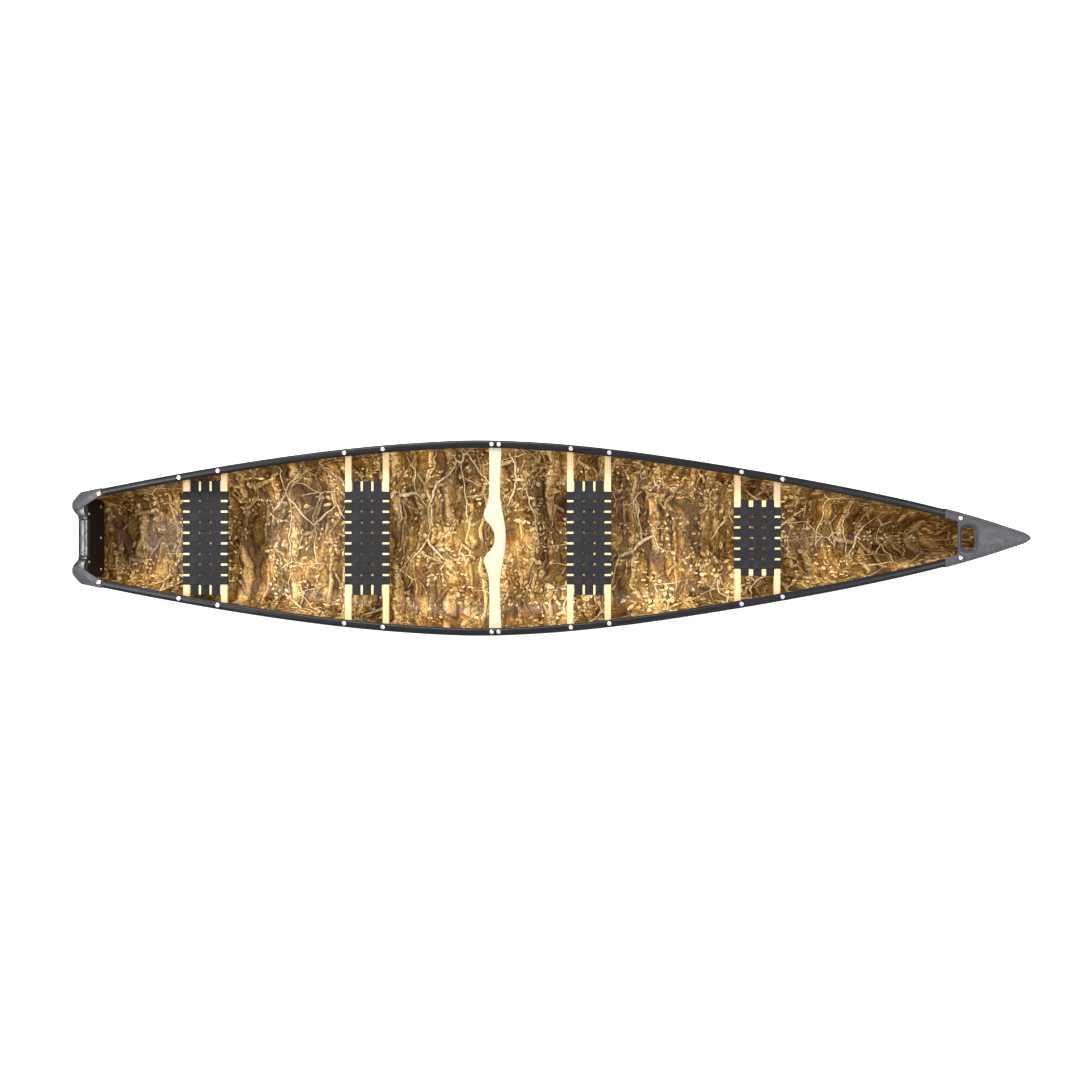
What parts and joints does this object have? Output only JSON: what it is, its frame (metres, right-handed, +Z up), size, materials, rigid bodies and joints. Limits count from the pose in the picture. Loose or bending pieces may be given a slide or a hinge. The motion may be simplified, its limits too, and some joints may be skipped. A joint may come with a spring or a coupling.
{
  "type": "square-stern canoe",
  "caption": "Open canoe with a square motor stern, camouflage-print hull, webbed wooden seats hung from the gunwales, a carrying yoke and a bow deck plate.",
  "frame": {"origin": "bottom centre of the whole canoe: mid-length, centre line, lowest point of the hull", "axes": "+X forward to the bow, +Y to port, +Z up"},
  "size_m": [5.179, 1.082, 0.5852],
  "materials": {
    "hull_camo": "semi-gloss moulded plastic with a printed woodland pattern of trunks, branches and leaves in tan, brown and olive",
    "gunwale_vinyl": "satin charcoal extruded vinyl",
    "stiffener_alloy": "mill finish",
    "moulded_trim": "finely textured charcoal moulding",
    "transom_board": "satin black sealed board",
    "stainless": "polished stainless",
    "webbing": "woven black strap",
    "ash": "oiled pale wood with visible grain"
  },
  "bodies": {
    "root": {"hull": "hull_camo", "gunwale_port": "gunwale_vinyl", "gunwale_starboard": "gunwale_vinyl", "stiffener_port": "stiffener_alloy", "stiffener_starboard": "stiffener_alloy", "bow_deck_plate": "moulded_trim", "deck_screws": "stainless", "stern_cap_port": "moulded_trim", "stern_cap_starboard": "moulded_trim", "stern_cap_screws": "stainless", "transom_cap_rail": "moulded_trim", "transom_board_inner": "transom_board", "transom_board_outer": "transom_board", "transom_bolts": "stainless", "transom_nuts": "stainless", "yoke": "ash", "yoke_bolts": "stainless", "yoke_washers": "stainless", "yoke_nuts": "stainless", "cup_washers": "stainless", "seat_bolts": "stainless", "seat_washers": "stainless", "seat_nuts": "stainless", "stern_seat_rail_aft": "ash", "stern_seat_rail_fore": "ash", "stern_seat_bar_port": "ash", "stern_seat_bar_starboard": "ash", "stern_seat_drops": "ash", "stern_seat_web_long": "webbing", "stern_seat_web_cross": "webbing", "aft_seat_rail_aft": "ash", "aft_seat_rail_fore": "ash", "aft_seat_bar_port": "ash", "aft_seat_bar_starboard": "ash", "aft_seat_drops": "ash", "aft_seat_web_long": "webbing", "aft_seat_web_cross": "webbing", "centre_seat_rail_aft": "ash", "centre_seat_rail_fore": "ash", "centre_seat_bar_port": "ash", "centre_seat_bar_starboard": "ash", "centre_seat_drops": "ash", "centre_seat_web_long": "webbing", "centre_seat_web_cross": "webbing", "bow_seat_rail_aft": "ash", "bow_seat_rail_fore": "ash", "bow_seat_bar_port": "ash", "bow_seat_bar_starboard": "ash", "bow_seat_drops": "ash", "bow_seat_web_long": "webbing", "bow_seat_web_cross": "webbing"}
  },
  "joints": []
}
